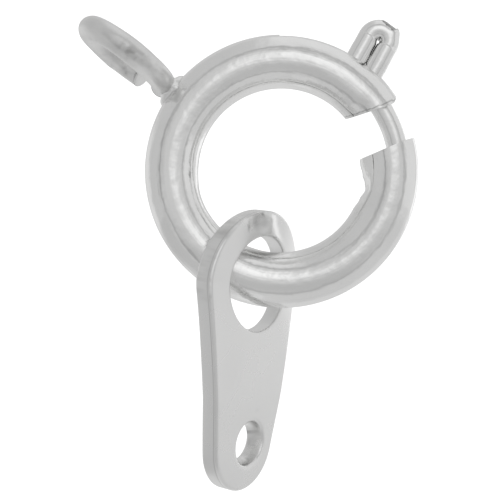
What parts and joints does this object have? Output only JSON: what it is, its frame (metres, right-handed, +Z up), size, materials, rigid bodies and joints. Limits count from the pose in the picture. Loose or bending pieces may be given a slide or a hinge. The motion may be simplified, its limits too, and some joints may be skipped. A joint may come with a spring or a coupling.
{
  "type": "spring ring clasp with connector tab",
  "caption": "Spring ring clasp: a hollow ring whose spring-loaded bolt closes its mouth, with a soldered eyelet and a holed connector tab threaded on the ring.",
  "frame": {"origin": "middle of the eyelet's hole, where the clasp hangs on its chain", "axes": "+Z up, towards what holds the clasp; +Y along the ring's axis, away from the viewer; +X to the right as the clasp is seen from the front"},
  "size_m": [0.0075, 0.0029, 0.0104],
  "materials": {
    "case_silver": "polished silver",
    "wire_silver": "polished silver wire",
    "spring_steel": "drawn steel wire",
    "tab_silver": "tumbled silver sheet"
  },
  "bodies": {
    "case": {"ring_case": "case_silver", "return_spring": "spring_steel"},
    "bolt": {"bolt": "wire_silver"},
    "tab": {"tab": "tab_silver"}
  },
  "joints": [
    {"name": "bolt", "type": "hinge", "parent": "case", "child": "bolt", "pos_m": [0.00339, 0, -0.00251], "axis": [0, -1, 0], "range_deg": [0, 28], "stiffness_Nm_per_rad": 0.002, "springref_deg": -11.46, "deforming": ["return_spring"]},
    {"name": "tab", "type": "hinge", "parent": "case", "child": "tab", "pos_m": [0.0028, 0, -0.00474], "axis": [0.9664, 0, -0.2571], "range_deg": [-140, 140]}
  ]
}
